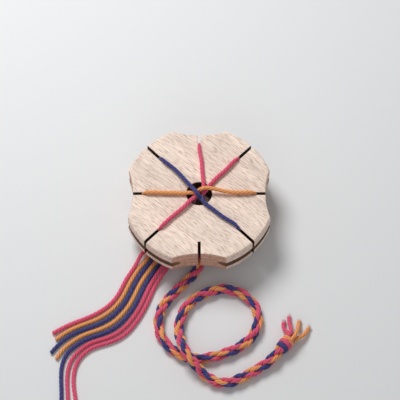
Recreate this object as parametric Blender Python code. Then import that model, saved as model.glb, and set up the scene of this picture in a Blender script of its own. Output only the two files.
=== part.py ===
"""Braiding star: a turned beech disk with eight sawn slots, seven yarns held in seven of them, the
round braid that hangs out of its centre hole, the knot that closes the braid and the loose tails.

Units are metres and +Z is up. +Y points at slot 1, and the slots are numbered clockwise from there,
so slot 5, the empty one, is at the front. The routes are laid out above a table at height 0, and one
empty then lowers everything so that the star's middle is the origin.
"""

import math

import bmesh
import bpy
import numpy as np
from mathutils import Matrix, Vector

MM = 0.001

# The star: a turned blank, scalloped on four sides and sawn eight times.
BLANK_DIAMETER = 0.080
STAR_THICKNESS = 0.015
EDGE_RADIUS = 0.0012
HOLE_DIAMETER = 0.0135
HOLE_EDGE_RADIUS = 0.0005
SCALLOP_DEPTH = 0.005
SCALLOP_RADIUS = 0.042
SCALLOP_EDGE_RADIUS = 0.0006
SCALLOP_COUNT = 4
GROOVE_WIDTH = 0.0044
GROOVE_DEPTH = 0.0026
GROOVE_BELOW_MIDDLE = 0.0010
SLOT_COUNT = 8
SLOT_WIDTH = 0.0015
SLOT_INNER_RADIUS = 0.028

# The yarn and what is made of it.
YARN_DIAMETER = 0.0022
BRAID_DIAMETER = 0.0056
KNOT_DIAMETER = 0.0082
KNOT_LENGTH = 0.0076
KNOT_MOUTH_DIAMETER = 0.0068

# Room between pieces: a seat keeps CLEARANCE, and cords that cross keep CROSSING_GAP.
CLEARANCE = 0.0003
CROSSING_GAP = 0.0004

# The braid's head, where the seven yarns turn down into the hole.
HEAD_X = 0.0002
HEAD_Y = -0.0006
HEAD_RING_RADIUS = 0.0018
HEAD_YARN_DIAMETER = 0.0012
HEAD_BELOW_FACE = 0.0012
HEAD_FIRST_ANGLE = 54.3

# Levels above the table that follow from the diameters.
YARN_LOW = YARN_DIAMETER / 2
YARN_HIGH = YARN_LOW + YARN_DIAMETER + CROSSING_GAP
BRAID_LOW = BRAID_DIAMETER / 2
BRAID_OVER_YARN = YARN_DIAMETER + CROSSING_GAP + BRAID_DIAMETER / 2
BRAID_OVER_BRAID = BRAID_LOW + BRAID_DIAMETER + CROSSING_GAP
UNDERSIDE = BRAID_OVER_YARN + BRAID_DIAMETER / 2 + CLEARANCE
FACE = UNDERSIDE + STAR_THICKNESS

# A yarn at rest on the face has its middle at YARN_REST. The one that crosses on top is lifted by
# STRAND_CREST yarn diameters more, and is the crown.
YARN_REST = CLEARANCE + YARN_DIAMETER / 2
STRAND_CREST = 1.0
STRAND_FLATTENED = 0.9
CROWN = YARN_REST + (STRAND_CREST + STRAND_FLATTENED / 2) * YARN_DIAMETER
MIDDLE = UNDERSIDE + (STAR_THICKNESS + CROWN) / 2

BLANK_SEGMENTS = 128
ROUND_STEPS = 4
STRAND_SIDES = 10
SPLINE_STEPS = 24
CUT_PAST = 0.002

COLOURS = {
    "beech": (0.82, 0.66, 0.54),
    "pink": (0.69, 0.07, 0.15),
    "orange": (0.87, 0.36, 0.10),
    "blue": (0.03, 0.03, 0.20),
}
SLOT_COLOURS = {
    1: "pink",
    2: "pink",
    3: "orange",
    4: "blue",
    6: "pink",
    7: "orange",
    8: "blue",
}


def slot_direction(slot):
    """The unit vector from the star's centre along a slot."""
    angle = math.radians(90 - (slot - 1) * 360 / SLOT_COUNT)
    return Vector((math.cos(angle), math.sin(angle), 0.0))


def yarn_in_slot():
    """How wide and how long, along the slot, a yarn is where the slot squeezes it."""
    width = SLOT_WIDTH - 1.5 * CLEARANCE
    return width, YARN_DIAMETER


def slot_seat_radius():
    """How far out the middle of a yarn is when it sits against its slot's inner end."""
    return SLOT_INNER_RADIUS + CLEARANCE + yarn_in_slot()[1] / 2


def new_material(name, roughness):
    material = bpy.data.materials.new(name)
    material.use_nodes = True
    shader = material.node_tree.nodes["Principled BSDF"]
    shader.inputs["Base Color"].default_value = (*COLOURS[name], 1.0)
    shader.inputs["Roughness"].default_value = roughness
    shader.inputs["Metallic"].default_value = 0.0
    return material


def add_object(name, data, material, parent):
    piece = bpy.data.objects.new(name, data)
    bpy.context.scene.collection.objects.link(piece)
    if material:
        data.materials.append(material)
    piece.parent = parent
    return piece


def smooth_by_angle(mesh, degrees):
    mesh.shade_smooth()
    mesh.set_sharp_from_angle(angle=math.radians(degrees))


def turned_mesh(name, profile, segments):
    """A solid of revolution about Z, from a profile of (radius, height) that runs bottom to top."""
    bm = bmesh.new()
    ring = [bm.verts.new((radius, 0.0, height)) for radius, height in profile]
    edges = [bm.edges.new(pair) for pair in zip(ring, ring[1:])]
    bmesh.ops.spin(
        bm,
        geom=ring + edges,
        cent=(0.0, 0.0, 0.0),
        axis=(0.0, 0.0, 1.0),
        angle=math.tau,
        steps=segments,
    )
    bmesh.ops.remove_doubles(bm, verts=bm.verts, dist=1e-6)
    open_edges = [edge for edge in bm.edges if edge.is_boundary]
    bmesh.ops.holes_fill(bm, edges=open_edges, sides=0)
    bmesh.ops.recalc_face_normals(bm, faces=bm.faces)
    mesh = bpy.data.meshes.new(name)
    bm.to_mesh(mesh)
    bm.free()
    smooth_by_angle(mesh, 35)
    return mesh


def quarter(centre_radius, centre_height, radius, start, end):
    """Points of a quarter round, by angle in degrees from +radius."""
    angles = np.radians(np.linspace(start, end, ROUND_STEPS + 1))
    return [
        (centre_radius + radius * math.cos(a), centre_height + radius * math.sin(a))
        for a in angles
    ]


def groove_profile(rim, middle):
    """The turned groove: half an ellipse cut into the rim, bottom to top."""
    angles = np.radians(np.linspace(-90, 90, 2 * ROUND_STEPS + 1))
    return [
        (
            rim - GROOVE_DEPTH * math.cos(a),
            middle + GROOVE_WIDTH / 2 * math.sin(a),
        )
        for a in angles
    ]


def blank_profile():
    """Underside, rounded edge, grooved rim, rounded edge and face of the turned blank."""
    rim = BLANK_DIAMETER / 2
    half = STAR_THICKNESS / 2
    inside = rim - EDGE_RADIUS
    lower = quarter(inside, EDGE_RADIUS - half, EDGE_RADIUS, -90, 0)
    upper = quarter(inside, half - EDGE_RADIUS, EDGE_RADIUS, 0, 90)
    middle = [(0.2 * rim, -half)]
    top = [(0.2 * rim, half)]
    return middle + lower + groove_profile(rim, -GROOVE_BELOW_MIDDLE) + upper + top


def flared_profile(radius, edge_radius):
    """A cutter whose ends flare, so that the wall it leaves meets both faces in a rounded edge."""
    half = STAR_THICKNESS / 2
    steps = np.linspace(1.0, 0.0, ROUND_STEPS + 1)
    rounded = []
    for step in steps:
        angle = step * math.pi / 2
        grows = edge_radius * (1 - math.cos(angle))
        rounded.append((radius + grows, half - edge_radius * (1 - math.sin(angle))))
    upper = [(radius + edge_radius, half + CUT_PAST)] + rounded
    lower = [(r, -z) for r, z in upper]
    return lower + upper[::-1]


def add_cut(star, cutter):
    cutter.hide_render = True
    cutter.display_type = "WIRE"
    modifier = star.modifiers.new(cutter.name, "BOOLEAN")
    modifier.operation = "DIFFERENCE"
    modifier.solver = "EXACT"
    modifier.object = cutter


def copies_mesh(name, source, places):
    """One mesh that holds the source mesh once at each place."""
    bm = bmesh.new()
    for place in places:
        before = len(bm.verts)
        bm.from_mesh(source)
        bm.verts.ensure_lookup_table()
        bmesh.ops.transform(bm, matrix=place, verts=bm.verts[before:])
    mesh = bpy.data.meshes.new(name)
    bm.to_mesh(mesh)
    bm.free()
    return mesh


def slot_mesh():
    """One saw cut along +X, from the slot's inner end to past the rim."""
    length = BLANK_DIAMETER / 2 + CUT_PAST - SLOT_INNER_RADIUS
    size = Vector((length, SLOT_WIDTH, STAR_THICKNESS + 2 * CUT_PAST))
    centre = Vector((SLOT_INNER_RADIUS + length / 2, 0.0, 0.0))
    bm = bmesh.new()
    bmesh.ops.create_cube(bm, size=1.0)
    bmesh.ops.transform(
        bm, matrix=Matrix.Translation(centre) @ Matrix.Diagonal(size).to_4x4(), verts=bm.verts
    )
    mesh = bpy.data.meshes.new("slot_cut")
    bm.to_mesh(mesh)
    bm.free()
    return mesh


def build_star(root, material):
    """The turned, scalloped and slotted wooden disk."""
    star = add_object(
        "braiding_star", turned_mesh("blank", blank_profile(), BLANK_SEGMENTS), material, root
    )
    star.location = (0.0, 0.0, UNDERSIDE + STAR_THICKNESS / 2)
    reach = BLANK_DIAMETER / 2 - SCALLOP_DEPTH + SCALLOP_RADIUS
    scallop = turned_mesh(
        "scallop", flared_profile(SCALLOP_RADIUS, SCALLOP_EDGE_RADIUS), BLANK_SEGMENTS
    )
    quarters = [
        Matrix.Rotation(i * math.tau / SCALLOP_COUNT, 4, "Z") @ Matrix.Translation((reach, 0, 0))
        for i in range(SCALLOP_COUNT)
    ]
    turns = [Matrix.Rotation(i * math.tau / SLOT_COUNT, 4, "Z") for i in range(SLOT_COUNT)]
    hole = turned_mesh("hole", flared_profile(HOLE_DIAMETER / 2, HOLE_EDGE_RADIUS), 48)
    for name, mesh in (
        ("scallops", copies_mesh("scallops", scallop, quarters)),
        ("hole", hole),
        ("slots", copies_mesh("slots", slot_mesh(), turns)),
    ):
        cutter = add_object("cut_" + name, mesh, None, star)
        add_cut(star, cutter)
    return star


def spline_through(points):
    """A smooth curve through the points, as a dense row: the natural cubic by chord length."""
    points = np.array([tuple(p) for p in points], float)
    knots = np.concatenate([[0.0], np.cumsum(np.linalg.norm(np.diff(points, axis=0), axis=1))])
    gaps = np.diff(knots)
    count = len(points)
    system = np.eye(count)
    right = np.zeros((count, 3))
    slopes = np.diff(points, axis=0) / gaps[:, None]
    for i in range(1, count - 1):
        system[i, i - 1 : i + 2] = gaps[i - 1], 2 * (gaps[i - 1] + gaps[i]), gaps[i]
        right[i] = 6 * (slopes[i] - slopes[i - 1])
    bends = np.linalg.solve(system, right)
    dense = []
    for i, gap in enumerate(gaps):
        t = np.linspace(0.0, gap, SPLINE_STEPS, endpoint=i == count - 2)[:, None]
        u = gap - t
        dense.append(
            (bends[i] * u**3 + bends[i + 1] * t**3) / (6 * gap)
            + (points[i] / gap - bends[i] * gap / 6) * u
            + (points[i + 1] / gap - bends[i + 1] * gap / 6) * t
        )
    return np.concatenate(dense)


def read_along(dense, longest, turn):
    """The points of a dense row that are needed: one each time it has gone on by longest or turned
    by turn degrees."""
    steps = np.diff(dense, axis=0)
    lengths = np.linalg.norm(steps, axis=1)
    headings = steps / lengths[:, None]
    kept = [0]
    for i in range(1, len(dense) - 1):
        run = lengths[kept[-1] : i].sum()
        bend = math.degrees(math.acos(min(1.0, float(headings[kept[-1]] @ headings[i]))))
        if run >= longest or (bend >= turn and run >= 0.2 * longest):
            kept.append(i)
    if lengths[kept[-1] :].sum() < 0.5 * longest and len(kept) > 2:
        kept.pop()
    return dense[kept + [len(dense) - 1]]


def add_tube(name, route, diameter, resolution, turn, material, root):
    """A cord as a bevelled poly line through a smooth curve, lying on the table at the lowest. The
    first and last stretches of its route stay straight, so that its ends are square to them."""
    dense = spline_through(route)
    dense[:, 2] = np.maximum(dense[:, 2], diameter / 2)
    middle = read_along(dense[SPLINE_STEPS : 1 - SPLINE_STEPS], 2.5 * diameter, turn)
    points = np.concatenate([dense[:1], middle, dense[-1:]])
    curve = bpy.data.curves.new(name, "CURVE")
    curve.dimensions = "3D"
    curve.bevel_depth = diameter / 2
    curve.bevel_resolution = resolution
    curve.use_fill_caps = True
    spline = curve.splines.new("POLY")
    spline.points.add(len(points) - 1)
    for point, place in zip(spline.points, points):
        point.co = (*place, 1.0)
    return add_object(name, curve, material, root)


def head_place(slot):
    """Where a yarn goes down in the ring at the braid's head. The yarns of slots 3 and 8 have
    crossed over their neighbours, so they go down out of turn."""
    order = {2: -1, 1: 0, 3: 1, 7: 2, 6: 3, 8: 4, 4: 5}
    angle = math.radians(HEAD_FIRST_ANGLE + order[slot] * 360 / len(order))
    return Vector((math.cos(angle), math.sin(angle), 0.0)) * HEAD_RING_RADIUS + Vector(
        (HEAD_X, HEAD_Y, 0.0)
    )


# Each strand from the hole to its slot, by points chosen off the photograph: x and y in millimetres,
# and how far it is lifted above its rest on the face, in yarn diameters.
STRAND_POINTS = {
    1: [(1.9, 2.2, -0.2), (2.3, 4.8, 0), (1.9, 9, 0), (1.5, 13.2, 0), (1.1, 19.2, 0)],
    2: [(3.2, 0.9, -0.23), (4.6, 3, -0.05), (6.7, 5.6, 0), (8.3, 7.6, 0), (13.6, 12.9, 0)],
    3: [(0.1, 1.1, 0.4), (0.9, 1.2, 0.68), (1.8, 1.4, 0.86), (3.3, 1.6, STRAND_CREST),
        (5.7, 1.4, 0.95), (8.3, 1.1, 0.77), (13.6, 0.2, 0.4), (18.8, -0.2, 0.14)],
    4: [(1.1, -3.2, -0.23), (1.6, -4.4, 0), (3, -6.3, 0), (5.6, -8.6, 0), (13.5, -15, 0)],
    6: [(-2.3, -2.5, -0.18), (-3.4, -3.7, 0.15), (-4.9, -5.2, 0.2), (-7.5, -8.1, 0.15),
        (-12.7, -12.8, 0)],
    7: [(-2.6, -0.1, -0.23), (-4.2, -0.2, 0), (-7.5, -0.4, 0), (-12.8, -0.3, 0),
        (-18, -0.2, 0)],
    8: [(-0.5, -2.3, 0.77), (-1, -1.7, 0.93), (-1.6, -0.8, STRAND_CREST), (-2.9, 0.9, 0.93),
        (-4.9, 3.4, 0.8), (-7.5, 6.7, 0.6), (-12.8, 13.3, 0.22)],
}

# How far above the face a strand rises straight out of the ring, in yarn diameters.
STRAND_UPRIGHT = {3: 0.59, 8: 0.68}
STRAND_UPRIGHT_ELSE = 0.06


def strand_route(slot):
    """The whole held stretch of one yarn, with the width and depth of its section at each point."""
    out = slot_direction(slot)
    seat = slot_seat_radius()
    width, length = yarn_in_slot()
    down = head_place(slot)
    upright = STRAND_UPRIGHT.get(slot, STRAND_UPRIGHT_ELSE) * YARN_DIAMETER
    route = [
        down + Vector((0.0, 0.0, FACE + CLEARANCE - HEAD_BELOW_FACE)),
        down + Vector((0.0, 0.0, FACE + upright)),
    ]
    for x, y, lift in STRAND_POINTS[slot]:
        route.append(Vector((x * MM, y * MM, FACE + YARN_REST + lift * YARN_DIAMETER)))
    sizes = [(HEAD_YARN_DIAMETER, HEAD_YARN_DIAMETER)] * 2
    sizes += [(0.8 * YARN_DIAMETER, 0.75 * YARN_DIAMETER)]
    sizes += [(YARN_DIAMETER, STRAND_FLATTENED * YARN_DIAMETER)] * (len(route) - 3)
    bend = seat - SLOT_INNER_RADIUS
    for distance, height, size in (
        (SLOT_INNER_RADIUS - 0.6 * YARN_DIAMETER, YARN_REST, (YARN_DIAMETER, YARN_DIAMETER)),
        (seat - 0.35 * bend, 0.5 * YARN_REST, (1.2 * width, 0.85 * length)),
        (seat, -0.8 * YARN_REST, (width, length)),
        (seat, -0.5 * STAR_THICKNESS, (width, length)),
        (seat, -STAR_THICKNESS, (width, length)),
    ):
        route.append(out * distance + Vector((0.0, 0.0, FACE + height)))
        sizes.append(size)
    return route, sizes


def add_strand(slot, material, root):
    """The held stretch as a loft of ellipses whose width stays level."""
    route, sizes = strand_route(slot)
    stations = np.array([(*place, *size) for place, size in zip(route, sizes)])
    dense = spline_through(stations[:, :3])
    marks = [int(np.argmin(np.linalg.norm(dense - place, axis=1))) for place in stations[:, :3]]
    points = read_along(dense, 1.6 * YARN_DIAMETER, 22)
    rows = [int(np.argmin(np.linalg.norm(dense - place, axis=1))) for place in points]
    widths = np.interp(rows, marks, stations[:, 3])
    depths = np.interp(rows, marks, stations[:, 4])
    headings = np.gradient(dense, axis=0)[rows]
    side = Vector((0.0, 0.0, 1.0)).cross(slot_direction(slot))
    bm = bmesh.new()
    rings = []
    for place, heading, width, depth in zip(points, headings, widths, depths):
        heading = Vector(heading).normalized()
        across = Vector((0.0, 0.0, 1.0)).cross(heading)
        level = across.length
        across = side if level < 0.15 else across.normalized()
        if across.dot(side) < 0:
            across.negate()
        across = (across - heading * across.dot(heading)).normalized()
        normal = heading.cross(across)
        ring = []
        for i in range(STRAND_SIDES):
            angle = i * math.tau / STRAND_SIDES
            offset = across * math.cos(angle) * width / 2 + normal * math.sin(angle) * depth / 2
            ring.append(bm.verts.new(Vector(place) + offset))
        rings.append(ring)
    for low, high in zip(rings, rings[1:]):
        for i in range(STRAND_SIDES):
            j = (i + 1) % STRAND_SIDES
            bm.faces.new((low[i], low[j], high[j], high[i]))
    bm.faces.new(rings[0][::-1])
    bm.faces.new(rings[-1])
    bmesh.ops.recalc_face_normals(bm, faces=bm.faces)
    mesh = bpy.data.meshes.new(f"strand_{slot}")
    bm.to_mesh(mesh)
    bm.free()
    smooth_by_angle(mesh, 50)
    return add_object(f"strand_{slot}_{SLOT_COLOURS[slot]}", mesh, material, root)


# The tails lie side by side in this order from left to right once they are out from under the star.
TAIL_ORDER = (6, 7, 8, 3, 4, 1, 2)

# The bundle's left and right edges on the table, in millimetres, chosen off the photograph.
BUNDLE_LEFT = [(-29.5, -25), (-33, -30.5), (-36.5, -36), (-39.5, -41.5), (-42.5, -48),
               (-46.5, -53.5), (-52, -58), (-58.5, -61.5), (-64.5, -64)]
BUNDLE_RIGHT = [(-17, -34.5), (-20, -38.5), (-23.5, -44), (-26, -50), (-29, -57),
                (-33, -64), (-39.5, -71.5), (-48, -75.8), (-55.5, -78.5)]

# Each tail under the star, from its slot to the bundle: x and y in millimetres, and the height.
TAIL_UNDER = {
    6: [(-22.6, -21.6, UNDERSIDE - 1.75 * YARN_DIAMETER), (-25.4, -22.9, YARN_HIGH)],
    7: [(-29.5, -3.2, 2.2 * YARN_LOW), (-29.3, -8, YARN_LOW), (-28.8, -14, YARN_LOW),
        (-28.1, -20.5, YARN_LOW)],
    8: [(-21.9, 17.6, 2.2 * YARN_LOW), (-22.8, 12.5, YARN_LOW), (-24, 5, YARN_LOW),
        (-25, -4, YARN_LOW), (-25.5, -13, YARN_LOW), (-25.5, -20.5, YARN_LOW)],
    3: [(26.4, -2, 2.2 * YARN_LOW), (21.5, -4.8, YARN_LOW), (13, -9, YARN_LOW),
        (4, -12.8, YARN_LOW), (-4, -16.5, YARN_LOW), (-12, -21.5, YARN_LOW),
        (-18.4, -25.8, YARN_LOW)],
    4: [(17.6, -21.3, 2.2 * YARN_LOW), (12, -21, YARN_LOW), (4, -20.5, YARN_LOW),
        (-4.5, -22.3, YARN_LOW), (-12, -26, YARN_LOW), (-17, -28.9, YARN_LOW)],
    1: [(-2.2, 26.4, 2.2 * YARN_LOW), (-5.5, 21, YARN_LOW), (-9.5, 12, YARN_LOW),
        (-11.8, 2, YARN_LOW), (-12.8, -8, 1.4 * YARN_LOW), (-13.2, -15, 0.85 * YARN_HIGH),
        (-14, -21.5, YARN_HIGH), (-16.3, -28.3, YARN_HIGH)],
    2: [(17.6, 19.9, 2.2 * YARN_LOW), (12, 17.6, YARN_LOW), (4, 13.6, YARN_LOW),
        (-3, 8.4, YARN_LOW), (-7, 2, YARN_LOW), (-8.7, -5, YARN_LOW),
        (-9.2, -12, 0.6 * YARN_HIGH), (-9.8, -18, YARN_HIGH), (-11, -24, YARN_HIGH),
        (-13.6, -30, YARN_HIGH)],
}

# The height of the raised tails at the bundle's first stations; the others are on the table.
TAIL_HEIGHTS = {
    6: [YARN_HIGH, 0.66 * YARN_HIGH],
    1: [YARN_HIGH, 0.7 * YARN_HIGH],
    2: [YARN_HIGH, 0.7 * YARN_HIGH],
}

# Each tail past the bundle, to its cut end on the table.
TAIL_ENDS = {
    6: [(-70.5, -66.9), (-76.5, -70.5)],
    7: [(-69.3, -69.8), (-74.8, -74)],
    8: [(-67.7, -72.2), (-72.8, -76.4), (-77, -81.5)],
    3: [(-65.8, -74.9), (-70.5, -79.2), (-74.2, -84.8)],
    4: [(-64.2, -77.4), (-68.6, -82), (-70.9, -88), (-71.2, -96), (-70.7, -105), (-70.8, -114)],
    1: [(-62.2, -80), (-65.9, -84.8), (-67.8, -91), (-68, -98), (-67.4, -106), (-67, -112)],
    2: [(-60.2, -82.2), (-63.3, -87), (-64.7, -93), (-64.6, -99.5), (-63.4, -107), (-62.8, -115)],
}


def tail_route(slot):
    """From just under the slot's mouth to the cut end. In the bundle, each tail keeps its share of
    the way from the left edge to the right edge."""
    mouth = slot_direction(slot) * slot_seat_radius()
    top = UNDERSIDE - CLEARANCE
    route = [(mouth.x, mouth.y, top), (mouth.x, mouth.y, top - 0.6 * YARN_DIAMETER)]
    route += [(x * MM, y * MM, z) for x, y, z in TAIL_UNDER[slot]]
    share = TAIL_ORDER.index(slot) / (len(TAIL_ORDER) - 1)
    heights = TAIL_HEIGHTS.get(slot, [])
    for i, (left, right) in enumerate(zip(BUNDLE_LEFT, BUNDLE_RIGHT)):
        x = left[0] + share * (right[0] - left[0])
        y = left[1] + share * (right[1] - left[1])
        height = heights[i] if i < len(heights) else YARN_LOW
        route.append((x * MM, y * MM, height))
    route += [(x * MM, y * MM, YARN_LOW) for x, y in TAIL_ENDS[slot]]
    return route


# The braid, from where it has come down under the star to where it enters the knot.
BRAID_ON_TABLE = [
    (0, -15.5, BRAID_OVER_YARN), (0, -21, BRAID_OVER_YARN), (0.4, -27, 0.92 * BRAID_OVER_YARN),
    (0.2, -31.5, 0.8 * BRAID_OVER_YARN), (-1.4, -35.6, 1.3 * BRAID_LOW),
    (-5.3, -40, 1.08 * BRAID_LOW), (-10.3, -45, BRAID_LOW), (-15.8, -51, BRAID_LOW),
    (-19.8, -57.5, BRAID_LOW), (-21.3, -64.5, BRAID_LOW), (-20.4, -71, BRAID_LOW),
    (-17.2, -76.6, BRAID_LOW), (-12.8, -80.8, BRAID_LOW), (-7.5, -83.8, BRAID_LOW),
    (-1.5, -85, BRAID_LOW), (4.5, -84.5, BRAID_LOW), (10.5, -83, BRAID_LOW),
    (17, -80.6, BRAID_LOW), (23, -77, BRAID_LOW), (27.8, -72, BRAID_LOW),
    (30.3, -66, BRAID_LOW), (30.4, -59.5, BRAID_LOW), (27.8, -53.5, BRAID_LOW),
    (23, -49, BRAID_LOW), (17, -46.4, BRAID_LOW), (10.5, -46, BRAID_LOW), (4, -48, BRAID_LOW),
    (-2.7, -51.7, BRAID_LOW), (-7.4, -57, BRAID_LOW), (-10, -63.5, BRAID_LOW),
    (-10.6, -70.5, 0.42 * BRAID_OVER_BRAID), (-9.3, -77, 0.8 * BRAID_OVER_BRAID),
    (-7.1, -83.2, BRAID_OVER_BRAID), (-3.2, -88.6, 0.84 * BRAID_OVER_BRAID),
    (1.5, -93.2, 0.46 * BRAID_OVER_BRAID), (7, -97, 1.03 * BRAID_LOW), (13.2, -98.4, BRAID_LOW),
    (19.7, -96.6, BRAID_LOW), (26, -93.3, BRAID_LOW), (32, -89.6, BRAID_LOW),
]
BRAID_BEND_RADIUS = 1.6 * BRAID_DIAMETER
BRAID_PLUMB_Y = 0.0006
KNOT_X, KNOT_Y = 0.0445, -0.0776
KNOT_HEADING = 49.0


def knot_axis():
    angle = math.radians(KNOT_HEADING)
    return Vector((math.cos(angle), math.sin(angle), 0.0))


def knot_centre():
    return Vector((KNOT_X, KNOT_Y, KNOT_DIAMETER / 2))


def braid_route():
    """Down the hole, through a bend to the run under the star, round one loop on the table, over
    itself and up to the knot."""
    bend_top = BRAID_OVER_YARN + BRAID_BEND_RADIUS
    head = FACE - HEAD_BELOW_FACE
    route = [(HEAD_X, HEAD_Y, head), (HEAD_X, HEAD_Y, head - 0.4 * BRAID_DIAMETER)]
    for degrees in (0, 22, 44, 66, 86):
        angle = math.radians(degrees)
        route.append(
            (
                0.0,
                BRAID_PLUMB_Y - BRAID_BEND_RADIUS * (1 - math.cos(angle)),
                bend_top - BRAID_BEND_RADIUS * math.sin(angle),
            )
        )
    route += [(x * MM, y * MM, z) for x, y, z in BRAID_ON_TABLE]
    end = knot_centre() - knot_axis() * (KNOT_LENGTH / 2 + CLEARANCE)
    route += [end - knot_axis() * back * BRAID_DIAMETER for back in (1.1, 0.55, 0.0)]
    return route


def knot_profile():
    """Two wraps with a waist between them, along the braid's axis."""
    neck = KNOT_MOUTH_DIAMETER / 2
    wrap = KNOT_DIAMETER / 2
    half = KNOT_LENGTH / 2
    return [
        (0.90 * neck, -half),
        (0.93 * wrap, -0.80 * half),
        (wrap, -0.48 * half),
        (0.95 * wrap, -0.16 * half),
        (0.91 * wrap, 0.0),
        (0.95 * wrap, 0.16 * half),
        (wrap, 0.45 * half),
        (0.93 * wrap, 0.76 * half),
        (neck, half),
    ]


def add_knot(material, root):
    """The knot lies on the table with its axis along the braid."""
    knot = add_object("end_knot", turned_mesh("end_knot", knot_profile(), 24), material, root)
    knot.rotation_mode = "QUATERNION"
    knot.rotation_quaternion = Vector((0.0, 0.0, 1.0)).rotation_difference(knot_axis())
    knot.location = knot_centre()
    return knot


# The cut ends past the knot: their place in the bundle of seven that leaves it, in turns of a sixth
# (None is the middle one), then x and y of the points up to the tip, in millimetres.
CUT_ENDS = {
    6: (3, [(44.6, -69), (44.1, -64.4)]),
    1: (2, [(47.3, -67.5), (47.2, -62.5)]),
    3: (1, [(51.2, -68.6), (52.8, -64.3)]),
    7: (0, [(54.2, -71.9), (57.3, -67.6)]),
    2: (4, [(48.2, -71.3)]),
    4: (5, [(50.3, -73)]),
    8: (None, [(48.2, -73.3)]),
}


def cut_end_route(slot):
    sixth, points = CUT_ENDS[slot]
    axis = knot_axis()
    across = Vector((-axis.y, axis.x, 0.0))
    start = knot_centre() + axis * (KNOT_LENGTH / 2 + CLEARANCE)
    if sixth is not None:
        angle = math.radians(sixth * 60)
        spread = YARN_DIAMETER + CLEARANCE
        start += (-across * math.cos(angle) + Vector((0, 0, math.sin(angle)))) * spread
    leave = start + axis * 0.5 * YARN_DIAMETER
    route = [start, leave]
    for i, (x, y) in enumerate(points, start=1):
        fall = i / len(points) if len(points) > 1 else 0.2
        route.append((x * MM, y * MM, start.z + (YARN_LOW - start.z) * fall))
    return route


def main():
    for old in list(bpy.data.objects):
        bpy.data.objects.remove(old)
    root = bpy.data.objects.new("star_middle", None)
    bpy.context.scene.collection.objects.link(root)
    root.location = (0.0, 0.0, -MIDDLE)
    materials = {name: new_material(name, 0.9) for name in ("pink", "orange", "blue")}
    materials["beech"] = new_material("beech", 0.6)

    build_star(root, materials["beech"])
    for slot, colour in SLOT_COLOURS.items():
        add_strand(slot, materials[colour], root)
        tail = f"tail_{slot}_{colour}"
        add_tube(tail, tail_route(slot), YARN_DIAMETER, 2, 16, materials[colour], root)
        end = f"cut_end_{slot}_{colour}"
        add_tube(end, cut_end_route(slot), YARN_DIAMETER, 2, 20, materials[colour], root)
    add_tube("braid", braid_route(), BRAID_DIAMETER, 4, 14, materials["pink"], root)
    add_knot(materials["pink"], root)


main()
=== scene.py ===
"""Looks of the braiding star: a pale beech disk that holds seven cotton yarns over its face, the
round braid that leaves its centre hole, the knot and cut ends that close the braid, and the loose
tails.

Everything is in metres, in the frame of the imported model, whose origin is the middle of the star
with its yarns. The tables hold millimetres, because the pieces are a few millimetres thick.
"""

import math

import bmesh
import bpy
import numpy as np
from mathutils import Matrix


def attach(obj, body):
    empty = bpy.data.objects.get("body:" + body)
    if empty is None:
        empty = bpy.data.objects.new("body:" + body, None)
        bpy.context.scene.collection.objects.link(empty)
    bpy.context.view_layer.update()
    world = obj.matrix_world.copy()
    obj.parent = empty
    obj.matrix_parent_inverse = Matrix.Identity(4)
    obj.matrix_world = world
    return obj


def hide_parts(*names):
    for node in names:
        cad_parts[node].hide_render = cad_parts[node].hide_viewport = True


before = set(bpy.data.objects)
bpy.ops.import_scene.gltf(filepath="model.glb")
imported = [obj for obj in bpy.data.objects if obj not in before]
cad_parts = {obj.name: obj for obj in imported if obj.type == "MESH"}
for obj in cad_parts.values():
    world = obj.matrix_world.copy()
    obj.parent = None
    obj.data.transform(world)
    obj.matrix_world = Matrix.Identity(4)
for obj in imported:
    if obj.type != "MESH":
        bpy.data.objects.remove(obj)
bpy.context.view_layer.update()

bl_info = {
    "name": "Braiding Star",
    "version": (1, 0, 0),
    "blender": (4, 5, 0),
    "location": "3D View > Sidebar > Braiding Star",
    "description": "A beech braiding star with its yarns, braid, knot and tails",
    "category": "Add Mesh",
}

MM = 0.001

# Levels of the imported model, from the table that everything lies on.
TABLE = -0.018295
YARN = 0.0022
BRAID = 0.0056
CROSSING_GAP = 0.0004
CLEARANCE = 0.0003
THICKNESS = 0.015
YARN_LOW = YARN / 2
YARN_HIGH = YARN_LOW + YARN + CROSSING_GAP
BRAID_LOW = BRAID / 2
BRAID_OVER_YARN = YARN + CROSSING_GAP + BRAID / 2
BRAID_OVER_BRAID = BRAID_LOW + BRAID + CROSSING_GAP
UNDERSIDE = BRAID_OVER_YARN + BRAID / 2 + CLEARANCE
FACE = UNDERSIDE + THICKNESS
YARN_REST = CLEARANCE + YARN / 2

SLOT_WIDTH = 0.0015
SLOT_INNER_RADIUS = 0.028
# The yarn in each slot. Slot 5, at the front, is the empty one that the next move needs.
SLOT_COLOURS = {1: "pink", 2: "pink", 3: "orange", 4: "blue", 6: "pink", 7: "orange", 8: "blue"}


def linear(colour):
    """An sRGB hex colour as linear red, green and blue."""
    parts = np.array([int(colour[i : i + 2], 16) for i in (1, 3, 5)]) / 255
    return tuple(np.where(parts <= 0.04045, parts / 12.92, ((parts + 0.055) / 1.055) ** 2.4))


def colour_setting(name, description, colour):
    """A colour that the user may change, given as an sRGB hex value."""
    return bpy.props.FloatVectorProperty(
        name=name, description=description, subtype="COLOR", default=linear(colour)
    )


def length_setting(name, description, default):
    """A length that the user may change, in metres."""
    return bpy.props.FloatProperty(
        name=name, description=description, default=default, unit="LENGTH"
    )


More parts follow.
